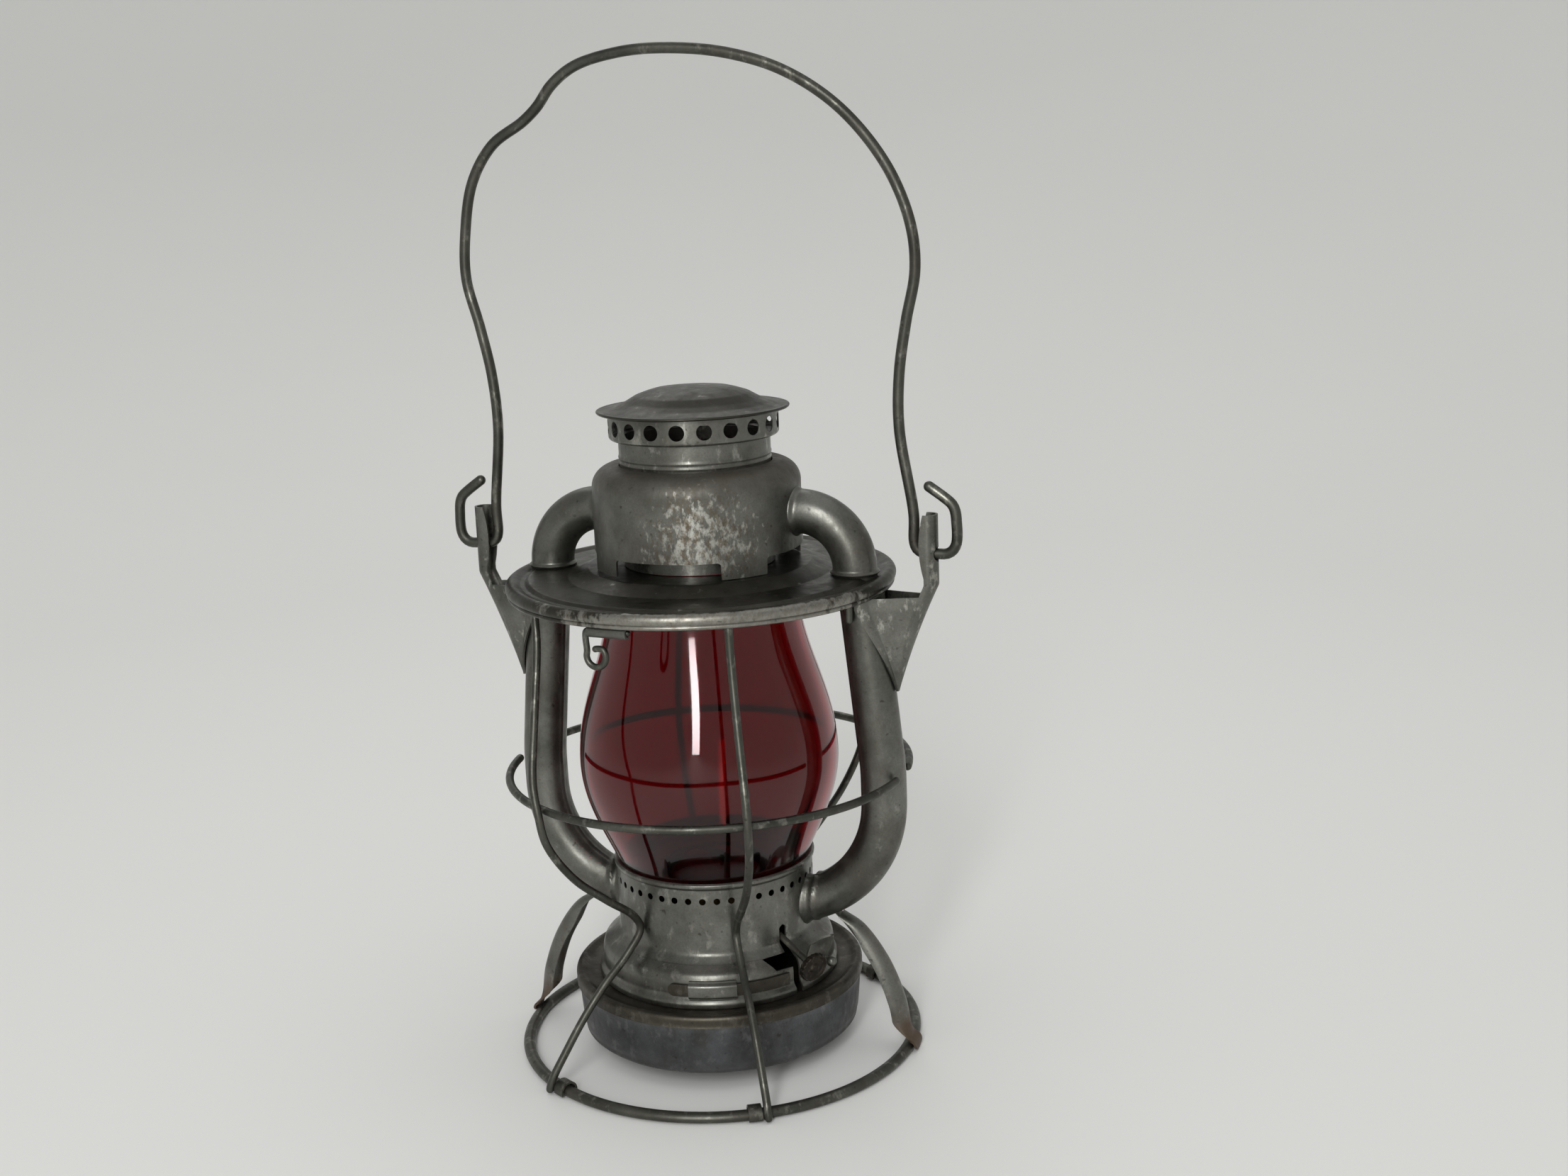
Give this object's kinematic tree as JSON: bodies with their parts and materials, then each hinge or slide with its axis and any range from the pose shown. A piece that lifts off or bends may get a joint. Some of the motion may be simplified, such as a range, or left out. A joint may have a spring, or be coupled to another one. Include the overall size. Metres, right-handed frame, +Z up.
{
  "type": "barn lantern",
  "caption": "Old tubular kerosene lantern with a ruby globe in a wire guard, side tubes, a hinged crown, a drop-out fount with a wick knob, and a swinging wire bail.",
  "frame": {"origin": "on the floor under the lantern's axis, at the middle of the base ring's underside", "axes": "+Z up, X through the two side tubes and the bail's ears, -Y the front with the finger hook"},
  "size_m": [0.209, 0.1618, 0.3902],
  "materials": {
    "old_tin": "old dull tinned sheet with brown stains",
    "sooty_tin": "dark sooty tinned sheet",
    "worn_wire": "dark worn tinned wire",
    "ruby_glass": "clear ruby glass",
    "old_brass": "dull brass",
    "cotton": "woven cotton"
  },
  "bodies": {
    "frame": {"base_ring": "worn_wire", "strap_leg_left": "old_tin", "strap_leg_right": "old_tin", "guard_wire_front_left": "worn_wire", "guard_wire_front_right": "worn_wire", "guard_wire_back_left": "worn_wire", "guard_wire_back_right": "worn_wire", "guard_hoop_front": "worn_wire", "guard_hoop_back": "worn_wire", "top_hoop_front": "worn_wire", "top_hoop_back": "worn_wire", "side_tube_left": "old_tin", "side_tube_right": "old_tin", "bail_ear_left": "old_tin", "bail_ear_right": "old_tin", "collar": "old_tin", "globe_plate": "old_tin", "globe": "ruby_glass", "latch_bridge": "old_tin", "latch_stop": "old_tin", "latch_tab": "old_tin", "foot_clip_front_left": "worn_wire", "foot_clip_front_right": "worn_wire", "foot_clip_back_left": "worn_wire", "foot_clip_back_right": "worn_wire"},
    "crown": {"crown_plate": "sooty_tin", "hood": "old_tin", "chimney": "old_tin", "vent_ring": "old_tin", "dome_cap": "sooty_tin", "elbow_left": "old_tin", "elbow_right": "old_tin", "globe_ring": "old_tin", "crown_hinge": "old_tin", "hook_bracket": "old_tin"},
    "crown_latch": {"finger_hook": "worn_wire"},
    "fount": {"fount_tank": "old_tin", "fount_deck": "old_tin", "fount_collar": "old_brass", "burner_body": "old_brass", "burner_cone": "old_brass", "wick_tube": "old_brass"},
    "wick_drive": {"wick_shaft": "worn_wire", "wick_knob": "worn_wire", "spur_wheel_inner": "old_brass", "spur_wheel_outer": "old_brass"},
    "wick_body": {"wick": "cotton"},
    "fount_latch": {"latch_strip": "old_tin"},
    "bail_body": {"bail": "worn_wire"}
  },
  "joints": [
    {"name": "crown_tilt", "type": "hinge", "parent": "frame", "child": "crown", "pos_m": [0, 0.063, 0.1861], "axis": [-1, 0, 0], "range_deg": [0, 100]},
    {"name": "finger_hook_swing", "type": "hinge", "parent": "crown", "child": "crown_latch", "pos_m": [-0.00991, -0.07051, 0.1846], "axis": [0.9903, -0.1392, 0], "range_deg": [-45, 20]},
    {"name": "fount_drop", "type": "slide", "parent": "frame", "child": "fount", "axis": [0, 0, -1], "range_m": [0, 0.05]},
    {"name": "wick_turn", "type": "hinge", "parent": "fount", "child": "wick_drive", "pos_m": [0.04801, -0.02933, 0.0452], "axis": [0.7766, -0.558, -0.2924], "range_deg": [-130, 65]},
    {"name": "wick_rise", "type": "slide", "parent": "fount", "child": "wick_body", "axis": [0, 0, 1], "range_m": [-0.0028, 0.00585]},
    {"name": "fount_latch_turn", "type": "hinge", "parent": "frame", "child": "fount_latch", "pos_m": [0, 0, 0.0355], "axis": [0, 0, 1], "range_deg": [0, 9]},
    {"name": "bail_swing", "type": "hinge", "parent": "frame", "child": "bail_body", "pos_m": [0, 0, 0.201], "axis": [1, 0, 0], "range_deg": [-105, 105]}
  ],
  "couplings": [
    {"joint": "wick_turn", "follows": "wick_rise", "rad_per_m": -373.13}
  ]
}
